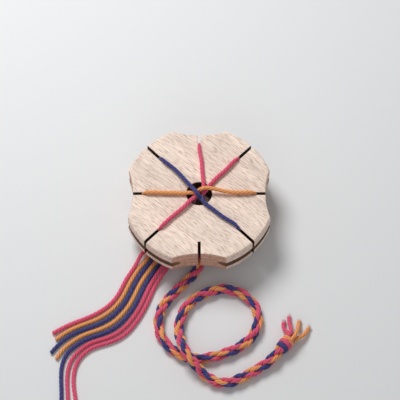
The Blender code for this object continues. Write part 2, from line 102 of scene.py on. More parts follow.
class WoodSettings(bpy.types.PropertyGroup):
    """Colours of the beech, and the painted shade of its walls."""

    face: colour_setting("Sanded", "Faces and turned rim", "#F6E0D0")
    fleck: colour_setting("Flecks", "Rays that show as short dark flecks", "#A47E65")
    # Painted shade: a pale multiplier that darkens all the scallops' walls a little.
    milled_shade: colour_setting(
        "Milled", "What a cutter leaves of the light in the scallops", "#E6CDBF"
    )
    # Painted shade: a near black multiplier that darkens the walls of the slots and the hole, as
    # shade in their depth.
    sawn_shade: colour_setting("Sawn", "What the scorch of a blade leaves in slots and hole", "#4A3929")
    # Painted shade: a brown multiplier that darkens the rim's groove, as shade under its upper lip.
    grooved_shade: colour_setting(
        "Grooved", "What the turning tool's rub leaves in the rim's groove", "#8C7460"
    )
    fleck_length: length_setting("Fleck length", "Along the grain", 0.0040)
    fleck_width: length_setting("Fleck width", "Across the grain", 0.00021)
    grain_heading: bpy.props.FloatProperty(
        name="Grain heading", description="Of the fibres in the plan, from +X", subtype="ANGLE",
        default=math.radians(-40),
    )


class DiskSettings(bpy.types.PropertyGroup):
    """Sizes of the wooden disk."""

    diameter: length_setting("Blank", "Diameter of the turned blank", 0.080)
    thickness: length_setting("Thickness", "From face to face", THICKNESS)
    edge: length_setting("Rim edge", "Radius of the turned edges", 0.0012)
    hole: length_setting("Hole", "Diameter of the centre hole", 0.0135)
    hole_edge: length_setting("Hole edge", "Radius of its edges", 0.0005)
    scallop_depth: length_setting(
        "Scallop depth", "How far a scallop goes in from the blank's rim", 0.005
    )
    scallop_radius: length_setting("Scallop radius", "Of the hollow curve", 0.042)
    scallop_edge: length_setting("Scallop edge", "Radius of its edges", 0.0006)
    groove_width: length_setting("Groove width", "Of the turned groove", 0.0044)
    groove_depth: length_setting("Groove depth", "Of the turned groove", 0.0026)
    groove_below: length_setting(
        "Groove below middle", "How far it sits below the middle of the rim", 0.0010
    )
    slot_width: length_setting("Slot width", "Of the eight saw cuts", SLOT_WIDTH)
    slot_start: length_setting(
        "Slot start", "From the axis to a slot's inner end", SLOT_INNER_RADIUS
    )
    slot_edge: length_setting("Slot edge", "Radius that sanding gave the slots' edges", 0.00018)


class YarnSettings(bpy.types.PropertyGroup):
    """Colours and twist of the cotton yarn."""

    pink: colour_setting("Pink", "Dyed cotton", "#F04E78")
    orange: colour_setting("Orange", "Dyed cotton", "#FFA65C")
    blue: colour_setting("Blue", "Dyed cotton", "#2D2B7E")
    plies: bpy.props.IntProperty(
        name="Plies", description="Threads that are twisted into one yarn", default=4, min=2,
    )
    lay: length_setting("Lay", "Length of one full turn of the plies", 0.0095)


class BraidSettings(bpy.types.PropertyGroup):
    """Form of the round braid."""

    ring: length_setting("Ring", "Distance of a stitch's middle from the braid's axis", 0.00182)
    fall: length_setting("Fall", "How much nearer to the axis a stitch's ends are", 0.00055)
    stitch: bpy.props.FloatProperty(
        name="Stitch", description="How many moves a yarn lies outside, of the seven in its round",
        default=5.0,
    )
    lean: bpy.props.FloatProperty(
        name="Lean", description="Turn of a stitch round the braid in each move",
        default=math.radians(5.0), subtype="ANGLE",
    )
    yarn: length_setting("Yarn in the braid", "Diameter that the yarn is pressed to", 0.00208)


class RoomSettings(bpy.types.PropertyGroup):
    """Floor and light."""

    floor: colour_setting("Floor", "Plain pale floor", "#E9EAEB")
    key_power: bpy.props.FloatProperty(
        name="Key light", description="Power of the soft light behind the star", default=4.3,
        unit="POWER",
    )
    sky: bpy.props.FloatProperty(
        name="Sky", description="Strength of the light from all round", default=0.27,
    )


def add_node(tree, kind, inputs=(), out=0, stops=(), **settings):
    """Adds one node with its settings, links and ramp, and returns the socket that is read from it.
    A value of inputs is a number, a colour or a socket."""
    made = tree.nodes.new("ShaderNode" + kind)
    for key, value in settings.items():
        setattr(made, key, value)
    for socket, value in dict(inputs).items():
        if isinstance(value, bpy.types.NodeSocket):
            tree.links.new(value, made.inputs[socket])
        else:
            made.inputs[socket].default_value = value
    for number, (place, colour) in enumerate(stops):
        elements = made.color_ramp.elements
        element = elements[number] if number < 2 else elements.new(1.0)
        element.position = place
        element.color = (*colour, 1.0)
    return made.outputs[out]


MIXED = {"out": 2, "data_type": "RGBA"}
MULTIPLIED = {**MIXED, "blend_type": "MULTIPLY"}


def new_material(name, inputs):
    """A material, its node tree and its shader, whose sockets get the given values."""
    material = bpy.data.materials.new(name)
    material.use_nodes = True
    shader = material.node_tree.nodes["Principled BSDF"]
    for socket, value in inputs.items():
        shader.inputs[socket].default_value = value
    return material, material.node_tree, shader


def worked_beech(name, left=(1, 1, 1)):
    """European beech, flatsawn and left without varnish: pale pinkish cream. The faces cut the rays
    where they show as short dark flecks along the grain. The walls show the rays from the side, as
    fine upright lines, and the years' growth as nearly level bands. The last argument multiplies
    the colour; the materials of the slots and hole, the scallops and the groove get a darker one as
    painted shade."""
    material, tree, shader = new_material(name, {"Roughness": 0.6})
    wood = bpy.context.scene.star_wood
    place = add_node(tree, "TexCoord", out="Object")
    grain = add_node(tree, "Mapping", {"Vector": place, "Rotation": (0, 0, -wood.grain_heading)})
    normal = add_node(tree, "NewGeometry", out="Normal")
    upright = add_node(tree, "SeparateXYZ", {"Vector": normal}, out="Z")
    level = add_node(tree, "Math", {0: upright}, operation="ABSOLUTE")

    # Patterns per metre along the grain, across it and upwards: streaks of fibres 0.5 mm wide,
    # bands of growth 8 mm wide on the faces and 1.6 mm high on the walls, and rays 3 mm high. The
    # rays are drawn 0.8 mm wide so that they show, and real ones are half of that or less.
    marks = {}
    for key, scale, detail, low, high in (
        ("patch", (160, 260, 200), 2, 0.15, 1.15),
        ("fibre", (110, 2100, 2600), 3, 0.77, 1.14),
        ("band", (9, 130, 90), 2, 0.9, 1.08),
        ("growth", (24, 30, 620), 4, 0.74, 1.18),
        ("ray", (1300, 1300, 340), 3, 0.74, 1.18),
    ):
        at = add_node(tree, "Mapping", {"Vector": grain, "Scale": scale})
        noise = add_node(tree, "TexNoise", {"Vector": at, "Scale": 1, "Detail": detail})
        marks[key] = add_node(
            tree, "MapRange",
            {"Value": noise, "From Min": 0.3, "From Max": 0.7, "To Min": low, "To Max": high},
        )

    # Flecks: one to each cell of 1.7 times their length and three times their width.
    cell = (0.6 / wood.fleck_length, 0.33 / wood.fleck_width, 0)
    at = add_node(tree, "Mapping", {"Vector": grain, "Scale": cell})
    spindles = add_node(
        tree, "TexVoronoi", {"Vector": at, "Scale": 1, "Randomness": 0.95},
        out="Distance", feature="F1", voronoi_dimensions="2D",
    )
    spindles = add_node(
        tree, "MapRange", {"Value": spindles, "From Min": 0.28, "From Max": 0.08}
    )
    flecks = add_node(
        tree, "Math", {0: spindles, 1: marks["patch"]}, operation="MULTIPLY", use_clamp=True
    )

    tone = add_node(tree, "Math", {0: marks["fibre"], 1: marks["band"]}, operation="MULTIPLY")
    face = add_node(tree, "VectorMath", {0: wood.face, "Scale": tone}, operation="SCALE")
    face = add_node(tree, "Mix", {0: flecks, 6: face, 7: (*wood.fleck, 1)}, **MIXED)
    tone = add_node(tree, "Math", {0: marks["ray"], 1: marks["growth"]}, operation="MULTIPLY")
    wall = add_node(tree, "VectorMath", {0: wood.face, "Scale": tone}, operation="SCALE")
    flat = add_node(tree, "MapRange", {"Value": level, "From Min": 0.55, "From Max": 0.95})
    colour = add_node(tree, "Mix", {0: flat, 6: wall, 7: face}, **MIXED)
    colour = add_node(tree, "Mix", {0: 1, 6: colour, 7: (*left, 1)}, **MULTIPLIED)
    tree.links.new(colour, shader.inputs["Base Color"])

    height = add_node(tree, "Math", {0: marks["fibre"], 1: flecks}, operation="SUBTRACT")
    bump = add_node(tree, "Bump", {"Height": height, "Strength": 0.25, "Distance": 0.00006})
    tree.links.new(bump, shader.inputs["Normal"])
    return material


def twisted_cotton(name, colour):
    """Soft cotton yarn of several plies, dyed and not glazed: matt, with a faint sheen from the
    loose fibres, which run along the yarn and catch the light. The furrows between the plies are
    darkened in the colour as painted shade. The map's first number is the turn round the yarn,
    counted with the plies, and its second one millimetres."""
    material, tree, shader = new_material("cotton_" + name, {
        "Roughness": 0.85, "Sheen Weight": 0.3, "Sheen Roughness": 0.5, "Specular IOR Level": 0.3,
    })
    yarn = bpy.context.scene.star_yarn
    place = add_node(tree, "UVMap", uv_map="yarn")
    turn = add_node(tree, "SeparateXYZ", {"Vector": place}, out="X")
    along = add_node(tree, "SeparateXYZ", {"Vector": place}, out="Y")
    ply = add_node(tree, "Math", {0: turn, 1: math.pi * yarn.plies}, operation="MULTIPLY")
    wave = add_node(tree, "Math", {0: ply}, operation="SINE")
    crown = add_node(tree, "Math", {0: wave}, operation="ABSOLUTE")

    # Fibres: 44 streaks round the yarn, 0.16 mm wide and 1.2 mm long. Real ones are 0.02 mm wide,
    # too fine to show.
    straight = add_node(
        tree, "Math", {0: along, 1: -MM / yarn.lay, 2: turn}, operation="MULTIPLY_ADD"
    )
    at = add_node(tree, "CombineXYZ", {"X": straight, "Y": along})
    at = add_node(tree, "Mapping", {"Vector": at, "Scale": (44, 0.8, 1)})
    fibres = add_node(
        tree, "TexNoise", {"Vector": at, "Scale": 1, "Detail": 3, "Roughness": 0.65}
    )
    colour = np.array(colour)
    dyed = add_node(
        tree, "ValToRGB", {"Fac": fibres},
        stops=((0.28, colour * 0.45), (0.48, colour), (0.74, colour * 0.8 + 0.2)),
    )
    # Painted shade: the colour falls to a third of itself in the furrows between the plies.
    furrow = add_node(
        tree, "ValToRGB", {"Fac": crown}, stops=((0, (0.34,) * 3), (0.5, (1, 1, 1)))
    )
    colour = add_node(tree, "Mix", {0: 1, 6: dyed, 7: furrow}, **MULTIPLIED)
    tree.links.new(colour, shader.inputs["Base Color"])
    bump = add_node(tree, "Bump", {"Height": fibres, "Strength": 0.5, "Distance": 0.00012})
    tree.links.new(bump, shader.inputs["Normal"])
    return material


def cotton(colour, pale=0.0):
    """The cotton of one colour, made at its first use, or that of the paler fibres of its cut ends,
    whose paleness is partly that of loose fibres and partly painted highlight."""
    name = ("frayed_" if pale else "") + colour
    found = bpy.data.materials.get("cotton_" + name)
    dye = np.array(getattr(bpy.context.scene.star_yarn, colour))
    return found or twisted_cotton(name, dye * (1 - pale) + 0.9 * pale)


# Points in each span of a spline, and the square of the change in heading that counts as none.
SPLINE_STEPS = 24
NO_TURN = 1e-18


def spline_through(points):
    """A dense row of points on the natural cubic spline through the given ones, by chord length:
    its second derivatives solve one linear system, and each span is the usual cubic of them."""
    points = np.asarray(points, float)
    gaps = np.linalg.norm(np.diff(points, axis=0), axis=1)
    count = len(points)
    system = np.eye(count)
    inner = np.arange(1, count - 1)
    system[inner, inner - 1] = gaps[:-1]
    system[inner, inner] = 2 * (gaps[:-1] + gaps[1:])
    system[inner, inner + 1] = gaps[1:]
    slopes = np.diff(points, axis=0) / gaps[:, None]
    right = np.zeros_like(points)
    right[1:-1] = 6 * np.diff(slopes, axis=0)
    bends = np.linalg.solve(system, right)
    share = np.linspace(0, 1, SPLINE_STEPS, endpoint=False)[None, :, None]
    gap = gaps[:, None, None]
    t, u = gap * share, gap * (1 - share)
    low, high = points[:-1, None], points[1:, None]
    bend_low, bend_high = bends[:-1, None], bends[1:, None]
    dense = (bend_low * u**3 + bend_high * t**3) / (6 * gap)
    dense += (low / gap - bend_low * gap / 6) * u + (high / gap - bend_high * gap / 6) * t
    return np.concatenate([dense.reshape(-1, points.shape[1]), points[-1:]])


def lengths_along(points):
    """The distance along a row of points, from its first one."""
    return np.concatenate([[0.0], np.cumsum(np.linalg.norm(np.diff(points, axis=0), axis=1))])


def even_steps(points, step, *others):
    """The row of points read again at equal steps along it, and each other row read with it."""
    run = lengths_along(points[:, :3])
    at = np.linspace(0, run[-1], max(3, int(round(run[-1] / step)) + 1))
    rows = [np.column_stack([np.interp(at, run, column) for column in points.T])]
    rows += [np.interp(at, run, other) for other in others]
    return [at] + rows


def mirrored(vector, across):
    """A vector mirrored in the plane that stands across another one."""
    return vector - across * (2 / (across @ across)) * (across @ vector)


def carried_frames(points, side):
    """The heading, side and top at each point of a row. The first side is given, and each next one
    is the last one mirrored twice, first in the plane between the two points and then in the
    plane between the two headings, which carries it along without a turn about the row."""
    heading = np.gradient(points, axis=0)
    heading /= np.linalg.norm(heading, axis=1)[:, None]
    side = np.asarray(side, float)
    side = side - heading[0] * (side @ heading[0])
    sides = [side / np.linalg.norm(side)]
    for i in range(len(points) - 1):
        step = points[i + 1] - points[i]
        side = mirrored(sides[-1], step)
        between = heading[i + 1] - mirrored(heading[i], step)
        if between @ between > NO_TURN:
            side = mirrored(side, between)
        sides.append(side / np.linalg.norm(side))
    sides = np.array(sides)
    return heading, sides, np.cross(heading, sides)


def yarn_skin(points, side, widths, depths, sides=16, furrow=0.17, turn=0.0):
    """Closed skin of a plied yarn round a row of points: its points, quads, end fans and map. At
    the angle a, counted with the plies, a ring reaches 1 - furrow * (1 - |sin(plies * a / 2)|) of
    an ellipse of the given width and depth, and the plies make one turn in each lay. Quads join
    the rings and a fan closes each end. The map counts turns round the ring and millimetres."""
    yarn = bpy.context.scene.star_yarn
    _, side, top = carried_frames(points, side)
    along = lengths_along(points)
    counted = np.arange(sides) / sides * math.tau
    reach = 1 - furrow * (1 - np.abs(np.sin(yarn.plies * counted / 2)))
    angle = counted[None, :] - (turn + along / yarn.lay)[:, None] * math.tau
    wide = np.cos(angle) * reach * np.asarray(widths)[:, None] / 2
    high = np.sin(angle) * reach * np.asarray(depths)[:, None] / 2
    rings = points[:, None] + side[:, None] * wide[..., None] + top[:, None] * high[..., None]

    verts = np.concatenate([rings.reshape(-1, 3), rings[:1].mean(1), rings[-1:].mean(1)])
    count = len(points)
    i, j = (grid.ravel() for grid in np.indices((count - 1, sides)))
    a, b = i * sides + j, i * sides + (j + 1) % sides
    quads = np.column_stack([a, b, b + sides, a + sides])
    run = along / MM
    low, high, near, far = j / sides, (j + 1) / sides, run[i], run[i + 1]
    maps = np.column_stack([low, near, high, near, high, far, low, far])

    # The fans take the corners of the first ring again, and the distance of the last one.
    a, b, low, high, near = (values[:sides] for values in (a, b, low, high, near))
    middle, far = (low + high) / 2, far[-sides:]
    hub, last = np.full(sides, count * sides), (count - 1) * sides
    fans = np.concatenate([
        np.column_stack([hub, b, a]), np.column_stack([hub + 1, last + a, last + b]),
    ])
    fan_maps = np.concatenate([
        np.column_stack([middle, near, high, near, low, near]),
        np.column_stack([middle, far, low, far, high, far]),
    ])
    return verts, quads, fans, np.concatenate([maps.reshape(-1, 2), fan_maps.reshape(-1, 2)])


TIP = 0.97


def rounded_end(points, radius):
    """How wide a yarn is at each point, from 1 down to a quarter, so that its last end is rounded:
    the root of 1 - x * x, where x rises from 0 to TIP over the last radius of its length."""
    run = lengths_along(points)
    return np.sqrt(1 - np.clip(1 - (run[-1] - run) / radius, 0, TIP) ** 2)


# Edges that turn by more than this are shaded as sharp ones.
SHARP_YARN = math.radians(40)
SHARP_WOOD = math.radians(33)


def add_object(name, data):
    """One object of the scene from its mesh, light or camera."""
    made = bpy.data.objects.new(name, data)
    bpy.context.scene.collection.objects.link(made)
    return made


def add_yarns(name, skins, materials, numbers=(0,)):
    """One object from several skins. numbers gives the material number of each skin."""
    verts, faces, maps, slots = [], [], [], []
    start = 0
    for (points, quads, fans, skin_map), number in zip(skins, numbers):
        verts.append(points)
        faces += (quads + start).tolist() + (fans + start).tolist()
        maps.append(skin_map)
        slots += [number] * (len(quads) + len(fans))
        start += len(points)
    mesh = bpy.data.meshes.new(name)
    mesh.from_pydata(np.concatenate(verts).tolist(), [], faces)
    layer = mesh.uv_layers.new(name="yarn")
    layer.uv.foreach_set("vector", np.concatenate(maps).astype(np.float32).ravel())
    for material in materials:
        mesh.materials.append(material)
    mesh.polygons.foreach_set("material_index", slots)
    mesh.shade_smooth()
    mesh.set_sharp_from_angle(angle=SHARP_YARN)
    mesh.update()
    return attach(add_object(name, mesh), "root")


def add_mixed_yarns(name, skins, slots):
    """One object from a skin for each of the slots, in the colours of their yarns."""
    colours = ["pink", "orange", "blue"]
    numbers = [colours.index(SLOT_COLOURS[slot]) for slot in slots]
    return add_yarns(name, skins, [cotton(colour) for colour in colours], numbers)


def slot_direction(slot):
    """The unit vector from the star's centre along a slot; slot 1 is at +Y and the rest follow
    clockwise."""
    angle = math.radians(90 - (slot - 1) * 45)
    return np.array([math.cos(angle), math.sin(angle), 0.0])


# Lengths between the rings of each kind of yarn, then between the points of the braid's path that
# RoundBraid reads and does not use, and as its yarns are placed round it.
STRAND_STEP = 0.00028
TAIL_STEP = 0.00032
BRAID_YARN_STEP = 0.00036
KNOT_STEP = 0.0003
CUT_END_STEP = 0.00022
BRAID_PATH_STEP = 0.001
BRAID_STEP = 0.00012

# A yarn in its slot: the room that it has, how wide it is there, and how far from the axis.
YARN_IN_SLOT = SLOT_WIDTH - 1.5 * CLEARANCE
SQUEEZED = 1.15 * YARN_IN_SLOT
SLOT_SEAT = SLOT_INNER_RADIUS + CLEARANCE + YARN / 2

# Each held yarn from the hole to its slot: x and y in millimetres, and how far it is lifted above
# its rest on the face, in yarn diameters.
STRAND_POINTS = {
    1: [(1.9, 2.2, -0.2), (2.3, 4.8, 0), (1.9, 9, 0), (1.5, 13.2, 0), (1.1, 19.2, 0)],
    2: [(3.2, 0.9, -0.23), (4.6, 3, -0.05), (6.7, 5.6, 0), (8.3, 7.6, 0), (13.6, 12.9, 0)],
    3: [(0.1, 1.1, 0.4), (0.9, 1.2, 0.68), (1.8, 1.4, 0.86), (3.3, 1.6, 1.0),
        (5.7, 1.4, 0.95), (8.3, 1.1, 0.77), (13.6, 0.2, 0.4), (18.8, -0.2, 0.14)],
    4: [(1.1, -3.2, -0.23), (1.6, -4.4, 0), (3, -6.3, 0), (5.6, -8.6, 0), (13.5, -15, 0)],
    6: [(-2.3, -2.5, -0.18), (-3.4, -3.7, 0.15), (-4.9, -5.2, 0.2), (-7.5, -8.1, 0.15),
        (-12.7, -12.8, 0)],
    7: [(-2.6, -0.1, -0.23), (-4.2, -0.2, 0), (-7.5, -0.4, 0), (-12.8, -0.3, 0), (-18, -0.2, 0)],
    8: [(-0.5, -2.3, 0.77), (-1, -1.7, 0.93), (-1.6, -0.8, 1.0), (-2.9, 0.9, 0.93),
        (-4.9, 3.4, 0.8), (-7.5, 6.7, 0.6), (-12.8, 13.3, 0.22)],
}
# How high a yarn comes out of the hole before it turns to its slot, in yarn diameters.
STRAND_UPRIGHT = {3: 0.59, 8: 0.68}
STRAND_UPRIGHT_REST = 0.06

# The braid's head: the middle and radius of the ring in which the yarns go down, their order round
# it by slot, the angle of number 0 in degrees, how far under the face the braid starts and how
# much deeper the held yarns end.
HEAD_MIDDLE = np.array([0.0002, -0.0006, 0.0])
HEAD_RING = 0.0018
HEAD_ORDER = {2: -1, 1: 0, 3: 1, 7: 2, 6: 3, 8: 4, 4: 5}
HEAD_FIRST_ANGLE = 54.3
HEAD_BELOW_FACE = 0.0012
HEAD_DEPTH = 0.0012


def head_place(slot):
    """Where a yarn goes down in the ring of seven at the braid's head."""
    angle = math.radians(HEAD_FIRST_ANGLE + HEAD_ORDER[slot] * 360 / 7)
    return HEAD_MIDDLE + np.array([math.cos(angle), math.sin(angle), 0.0]) * HEAD_RING


def strand_route(slot):
    """The held stretch of one yarn, from under its slot back to the hole, as rows of x, y, z, width
    and depth."""
    out = slot_direction(slot)
    down = head_place(slot)
    upright = STRAND_UPRIGHT.get(slot, STRAND_UPRIGHT_REST) * YARN
    rows = [
        (*(down + (0, 0, FACE - HEAD_BELOW_FACE - HEAD_DEPTH)), 0.8 * YARN, 0.8 * YARN),
        (*(down + (0, 0, FACE + CLEARANCE - HEAD_BELOW_FACE)), 0.85 * YARN, 0.85 * YARN),
        (*(down + (0, 0, FACE + upright)), 0.9 * YARN, 0.85 * YARN),
    ]
    for x, y, lift in STRAND_POINTS[slot]:
        rows.append((x * MM, y * MM, FACE + YARN_REST + lift * YARN, YARN, 0.94 * YARN))
    bend = SLOT_SEAT - SLOT_INNER_RADIUS
    for distance, height, width, depth in (
        (SLOT_INNER_RADIUS - 0.6 * YARN, YARN_REST, 0.94 * YARN, YARN),
        (SLOT_SEAT - 0.35 * bend, 0.5 * YARN_REST, 1.3 * YARN_IN_SLOT, 0.9 * YARN),
        (SLOT_SEAT, -0.8 * YARN_REST, SQUEEZED, YARN),
        (SLOT_SEAT, -0.5 * THICKNESS, SQUEEZED, YARN),
        (SLOT_SEAT, -THICKNESS, SQUEEZED, YARN),
    ):
        rows.append((*(out * distance + (0, 0, FACE + height)), width, depth))
    rows = np.array(rows)[::-1]
    rows[:, 2] += TABLE
    return rows


def strand_skin(slot):
    """The plied yarn over the face, pulled into its slot."""
    rows = strand_route(slot)
    dense = spline_through(rows[:, :3])
    run = lengths_along(dense)
    marks = run[::SPLINE_STEPS]
    _, points, widths, depths = even_steps(
        dense, STRAND_STEP, *(np.interp(run, marks, rows[:, column]) for column in (3, 4))
    )
    side = np.cross(slot_direction(slot), (0, 0, 1))
    return yarn_skin(points, side, widths, depths, sides=20, turn=0.13 * slot)


class HeldYarns(bpy.types.Operator):
    """Add the seven yarns held over the face, each pulled into its slot"""

    bl_idname = "braiding_star.held_yarns"
    bl_label = "Held yarns"

    def execute(self, context):
        for slot, colour in SLOT_COLOURS.items():
            piece = add_yarns(f"held_yarn_{slot}_{colour}", [strand_skin(slot)], [cotton(colour)])
            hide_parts(f"strand_{slot}_{colour}")
        return {"FINISHED"}


# The tails lie side by side in this order, from left to right, once they are out from under the
# star. The tables give x and y in millimetres, and a height where a point isn't on the table.
TAIL_ORDER = (6, 7, 8, 3, 4, 1, 2)
TAIL_LANDS = 2.2 * YARN_LOW
BUNDLE_LEFT = [(-29.5, -25), (-33, -30.5), (-36.5, -36), (-39.5, -41.5), (-42.5, -48),
               (-46.5, -53.5), (-52, -58), (-58.5, -61.5), (-64.5, -64)]
BUNDLE_RIGHT = [(-17, -34.5), (-20, -38.5), (-23.5, -44), (-26, -50), (-29, -57),
                (-33, -64), (-39.5, -71.5), (-48, -75.8), (-55.5, -78.5)]
TAIL_UNDER = {
    6: [(-22.6, -21.6, UNDERSIDE - 1.75 * YARN), (-25.4, -22.9, YARN_HIGH)],
    7: [(-29.5, -3.2, TAIL_LANDS), (-29.3, -8), (-28.8, -14), (-28.1, -20.5)],
    8: [(-21.9, 17.6, TAIL_LANDS), (-22.8, 12.5), (-24, 5), (-25, -4), (-25.5, -13),
        (-25.5, -20.5)],
    3: [(26.4, -2, TAIL_LANDS), (21.5, -4.8), (13, -9), (4, -12.8), (-4, -16.5), (-12, -21.5),
        (-18.4, -25.8)],
    4: [(17.6, -21.3, TAIL_LANDS), (12, -21), (4, -20.5), (-4.5, -22.3), (-12, -26),
        (-17, -28.9)],
    1: [(-2.2, 26.4, TAIL_LANDS), (-5.5, 21), (-9.5, 12), (-11.8, 2),
        (-12.8, -8, 1.4 * YARN_LOW), (-13.2, -15, 0.85 * YARN_HIGH), (-14, -21.5, YARN_HIGH),
        (-16.3, -28.3, YARN_HIGH)],
    2: [(17.6, 19.9, TAIL_LANDS), (12, 17.6), (4, 13.6), (-3, 8.4), (-7, 2), (-8.7, -5),
        (-9.2, -12, 0.6 * YARN_HIGH), (-9.8, -18, YARN_HIGH), (-11, -24, YARN_HIGH),
        (-13.6, -30, YARN_HIGH)],
}
# Heights of the first points in the bundle, for the tails that come in over another one.
TAIL_HEIGHTS = {
    6: [YARN_HIGH, 0.66 * YARN_HIGH],
    1: [YARN_HIGH, 0.7 * YARN_HIGH],
    2: [YARN_HIGH, 0.7 * YARN_HIGH],
}
TAIL_ENDS = {
    6: [(-70.5, -66.9), (-76.5, -70.5)],
    7: [(-69.3, -69.8), (-74.8, -74)],
    8: [(-67.7, -72.2), (-72.8, -76.4), (-77, -81.5)],
    3: [(-65.8, -74.9), (-70.5, -79.2), (-74.2, -84.8)],
    4: [(-64.2, -77.4), (-68.6, -82), (-70.9, -88), (-71.2, -96), (-70.7, -105), (-70.8, -114)],
    1: [(-62.2, -80), (-65.9, -84.8), (-67.8, -91), (-68, -98), (-67.4, -106), (-67, -112)],
    2: [(-60.2, -82.2), (-63.3, -87), (-64.7, -93), (-64.6, -99.5), (-63.4, -107),
        (-62.8, -115)],
}


def in_metres(points, low):
    """Points of a table in metres. One that gives no height lies at the given one."""
    return [(x * MM, y * MM, *(height or [low])) for x, y, *height in points]


def laid(route, low):
    """The spline through a route, from the given height over the table upwards."""
    dense = spline_through(route)
    dense[:, 2] = np.maximum(dense[:, 2], low) + TABLE
    return dense


def tail_points(slot):
    """The tail's middle, from just under its slot to the cut end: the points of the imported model,
    where each tail keeps its share of the way across the bundle."""
    mouth = slot_direction(slot)[:2] * SLOT_SEAT
    top = UNDERSIDE - CLEARANCE
    share = TAIL_ORDER.index(slot) / (len(TAIL_ORDER) - 1)
    left, right = np.array(BUNDLE_LEFT), np.array(BUNDLE_RIGHT)
    bundle = left + share * (right - left)
    heights = TAIL_HEIGHTS.get(slot, []) + [YARN_LOW] * len(bundle)
    return laid(
        [
            (*mouth, top),
            (*mouth, top - 0.6 * YARN),
            *in_metres(TAIL_UNDER[slot], YARN_LOW),
            *((x * MM, y * MM, height) for (x, y), height in zip(bundle, heights)),
            *in_metres(TAIL_ENDS[slot], YARN_LOW),
        ],
        YARN_LOW,
    )


# Over what length a tail regains its width below its slot, and how rounded its cut end is.
TAIL_WIDENS = 0.0022
TAIL_END_RADIUS = 0.0007


class LooseTails(bpy.types.Operator):
    """Add the seven loose tails that run from under the slots into one bundle on the table"""

    bl_idname = "braiding_star.loose_tails"
    bl_label = "Loose tails"

    def execute(self, context):
        for slot, colour in SLOT_COLOURS.items():
            along, points = even_steps(tail_points(slot), TAIL_STEP)
            widened = np.interp(along, [0, TAIL_WIDENS], [0, 1])
            end = rounded_end(points, TAIL_END_RADIUS)
            width = (SQUEEZED + (YARN - SQUEEZED) * widened) * end
            side = np.cross(slot_direction(slot), (0, 0, 1))
            skin = yarn_skin(points, side, width, YARN * end, turn=0.17 * slot)
            piece = add_yarns(f"loose_tail_{slot}_{colour}", [skin], [cotton(colour)])
            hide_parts(f"tail_{slot}_{colour}")
        return {"FINISHED"}


# x and y in millimetres, and a height where a point isn't on the table.
BRAID_ON_TABLE = [
    (0, -15.5, BRAID_OVER_YARN), (0, -21, BRAID_OVER_YARN), (0.4, -27, 0.92 * BRAID_OVER_YARN),
    (0.2, -31.5, 0.8 * BRAID_OVER_YARN), (-1.4, -35.6, 1.3 * BRAID_LOW),
    (-5.3, -40, 1.08 * BRAID_LOW), (-10.3, -45), (-15.8, -51), (-19.8, -57.5), (-21.3, -64.5),
    (-20.4, -71), (-17.2, -76.6), (-12.8, -80.8), (-7.5, -83.8), (-1.5, -85), (4.5, -84.5),
    (10.5, -83), (17, -80.6), (23, -77), (27.8, -72), (30.3, -66), (30.4, -59.5), (27.8, -53.5),
    (23, -49), (17, -46.4), (10.5, -46), (4, -48), (-2.7, -51.7), (-7.4, -57), (-10, -63.5),
    (-10.6, -70.5, 0.42 * BRAID_OVER_BRAID), (-9.3, -77, 0.8 * BRAID_OVER_BRAID),
    (-7.1, -83.2, BRAID_OVER_BRAID), (-3.2, -88.6, 0.84 * BRAID_OVER_BRAID),
    (1.5, -93.2, 0.46 * BRAID_OVER_BRAID), (7, -97, 1.03 * BRAID_LOW), (13.2, -98.4),
    (19.7, -96.6), (26, -93.3), (32, -89.6),
]

# The quarter turn under the hole (its y at the top and its radius), how far the braid's yarns go on
# into the knot, and the knot's size, place and directions.
BRAID_BEND_START = 0.0006
BRAID_BEND_RADIUS = 1.6 * BRAID
BRAID_INTO_KNOT = 0.0032
KNOT_LENGTH = 0.0076
KNOT_DIAMETER = 0.0082
KNOT_MIDDLE = np.array([0.0445, -0.0776, KNOT_DIAMETER / 2])
KNOT_AXIS = np.array([math.cos(math.radians(49)), math.sin(math.radians(49)), 0.0])
KNOT_ACROSS = np.array([-KNOT_AXIS[1], KNOT_AXIS[0], 0.0])
UP = np.array([0.0, 0.0, 1.0])

# The slots of the braid's yarns by age of their last move, the newest first, and the moves in a
# round. Then the turn round the braid of each move, the steps over which a running mean rounds a
# yarn's corners, the power with which a stitch falls to its ends, and the share of its width that
# a yarn loses in the middle.
BRAID_ORDER = (8, 3, 6, 1, 4, 7, 2)
ROUND = len(BRAID_ORDER)
MOVE_TURN = math.radians(135)
CORNER_STEPS = 11
FALL_POWER = 2.6
PRESSED = 0.2

# How the braid lies along its length: millimetres from the head, moves made, and degrees that it
# has turned. It is a little looser in the loop than near the star, and the loop has twisted it.
BRAID_LAY = (
    (0, 3.5, 225), (50, 61.5, 327), (62, 75.9, 317), (74, 90.3, 320), (86, 103.9, 319),
    (98, 116.2, 316), (110, 127.7, 312), (122, 139.3, 306), (134, 150.7, 289), (146, 162.6, 254),
    (158, 174.6, 196), (170, 187.2, 143), (182, 200.3, 95), (194, 212.9, 64), (206, 225.9, 54),
    (218, 238.0, 55), (230, 250.2, 70), (242, 263.0, 98), (254, 275.9, 114), (266, 288.4, 119),
    (278, 301.0, 129), (290, 314.0, 141), (310, 335.0, 160),
)


def braid_points():
    """The braid's middle, from its head in the hole to the knot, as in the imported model: a
    quarter turn under the hole, and then the points on the table."""
    head = FACE - HEAD_BELOW_FACE
    x, y = HEAD_MIDDLE[:2]
    bend = np.radians((0, 22, 44, 66, 86))
    end = KNOT_MIDDLE - KNOT_AXIS * (KNOT_LENGTH / 2 + CLEARANCE)
    return laid(
        [
            (x, y, head),
            (x, y, head - 0.4 * BRAID),
            *zip(
                np.zeros(len(bend)),
                BRAID_BEND_START - BRAID_BEND_RADIUS * (1 - np.cos(bend)),
                BRAID_OVER_YARN + BRAID_BEND_RADIUS - BRAID_BEND_RADIUS * np.sin(bend),
            ),
            *in_metres(BRAID_ON_TABLE, BRAID_LOW),
            *(end - KNOT_AXIS * back * BRAID for back in (1.1, 0.55, 0.0)),
        ],
        BRAID_LOW,
    )


